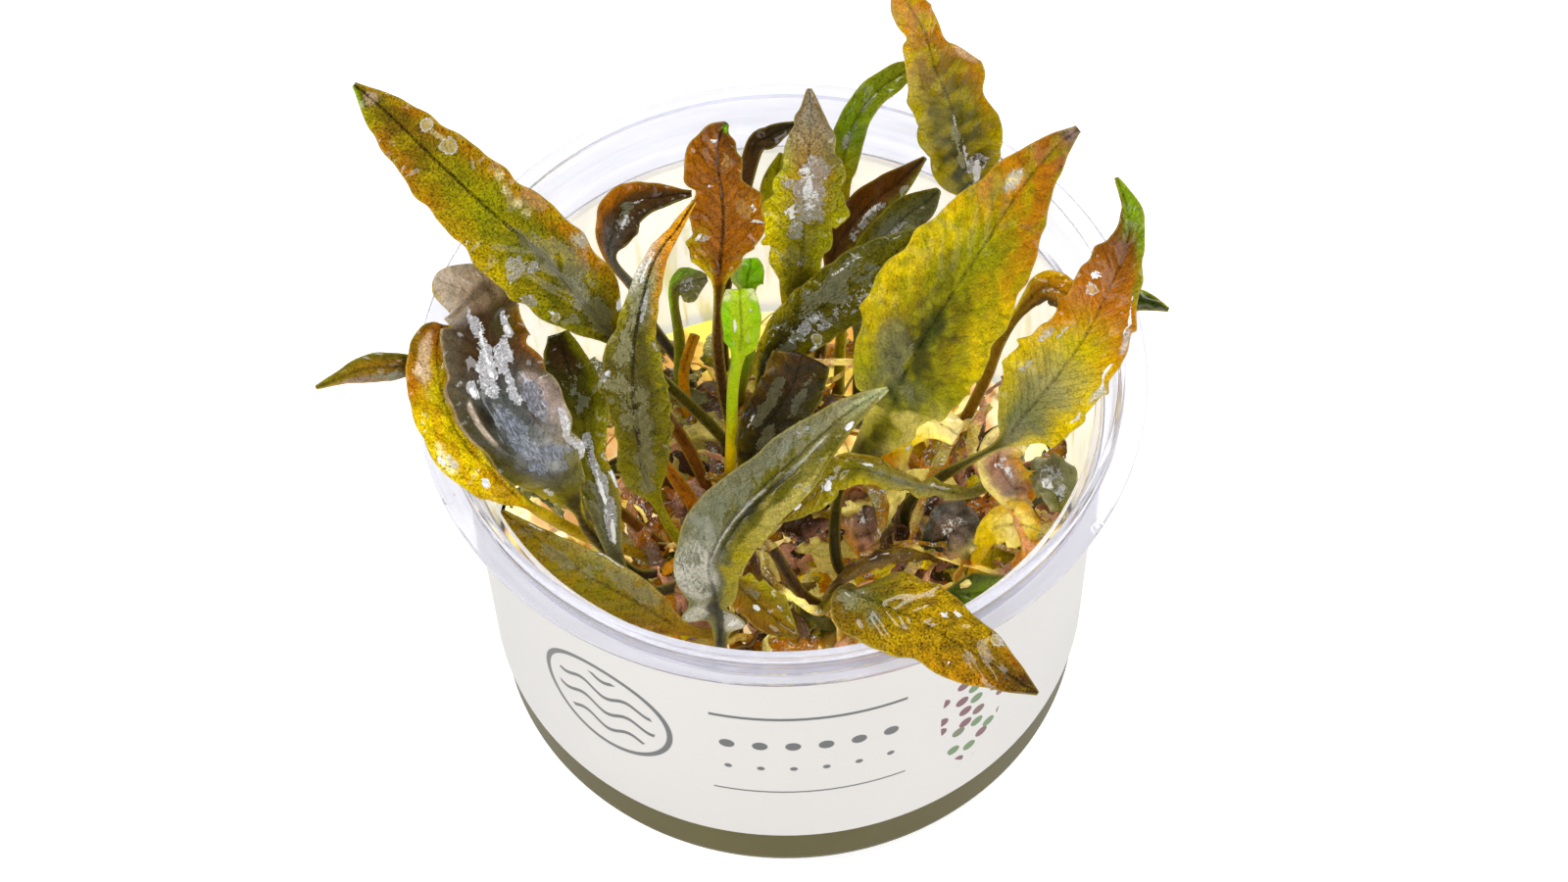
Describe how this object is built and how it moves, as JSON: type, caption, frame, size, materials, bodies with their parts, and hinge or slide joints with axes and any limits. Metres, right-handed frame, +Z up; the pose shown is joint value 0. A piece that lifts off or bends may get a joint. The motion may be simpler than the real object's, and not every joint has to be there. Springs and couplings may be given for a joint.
{
  "type": "potted aquatic plant",
  "caption": "Clump of broad-leaved water plants, green, olive, amber and dark, standing in gel in a clear growing cup with a paper band.",
  "frame": {"origin": "centre of the cup's flat underside", "axes": "+Z up along the cup's axis; -Y is the side that is seen first, where a leaf lies over the rim"},
  "size_m": [0.1177, 0.1048, 0.1072],
  "materials": {
    "clear_plastic": "clear moulded plastic, glossy, with a faint lavender tint at its edges",
    "label_paper": "white coated paper with a plain print of a round mark, rules, dots and pebbles",
    "growing_gel": "cloudy olive gel, wet",
    "crown_tissue": "brown root stock, fibrous and damp",
    "leaf_olive": "olive green leaf, waxy and wet",
    "leaf_dark": "dark grey-green leaf, wet, with a slate sheen",
    "leaf_yellow": "yellow-green leaf, waxy and wet",
    "leaf_amber": "amber to orange-brown leaf, waxy and wet",
    "leaf_bright_green": "bright green young leaf, glossy",
    "leaf_grey_green": "grey-green leaf with a silvery film",
    "leaf_brown": "red-brown leaf, wet",
    "old_leaf": "decaying leaf, curled, translucent in places",
    "old_stalk": "old leaf stalk, red-brown to pink, wet",
    "root_fibre": "thin pale roots"
  },
  "bodies": {
    "root": {"cup": "clear_plastic", "label": "label_paper", "gel": "growing_gel", "crown_left": "crown_tissue", "crown_middle": "crown_tissue", "crown_back": "crown_tissue", "crown_back_left": "crown_tissue", "crown_right": "crown_tissue", "crown_front": "crown_tissue", "leaf_upper_left": "leaf_olive", "leaf_left_dark": "leaf_dark", "leaf_left_behind": "leaf_dark", "leaf_left_yellow": "leaf_yellow", "leaf_far_left": "leaf_brown", "leaf_centre_upright": "leaf_olive", "leaf_orange": "leaf_amber", "leaf_young_green": "leaf_bright_green", "leaf_young_green_back": "leaf_bright_green", "leaf_top": "leaf_grey_green", "leaf_back_green": "leaf_bright_green", "leaf_arching_green": "leaf_bright_green", "leaf_tall": "leaf_amber", "leaf_large_yellow": "leaf_yellow", "leaf_right": "leaf_yellow", "leaf_right_curled": "leaf_brown", "leaf_brown_back": "leaf_brown", "leaf_grey_back": "leaf_grey_green", "leaf_wide_grey": "leaf_grey_green", "leaf_dark_folded": "leaf_dark", "leaf_front_arching": "leaf_grey_green", "leaf_front_low": "leaf_olive", "leaf_over_rim": "leaf_yellow", "leaf_front_small": "leaf_olive", "leaf_twisted": "leaf_olive", "leaf_back_brown": "leaf_brown", "leaf_back_dark": "leaf_dark", "leaf_back_small": "leaf_olive", "leaf_wall_green": "leaf_olive", "old_leaf_ring": "old_leaf", "old_leaf_brown": "old_leaf", "old_leaf_black": "old_leaf", "old_leaf_curl": "old_leaf", "old_leaf_scrap": "old_leaf", "old_leaf_grey": "old_leaf", "old_leaf_orange": "old_leaf", "old_stalk_red": "old_stalk", "old_stalk_brown": "old_stalk", "old_stalk_orange": "old_stalk", "old_stalk_pink": "old_stalk", "old_stalk_front": "old_stalk"}
  },
  "joints": []
}
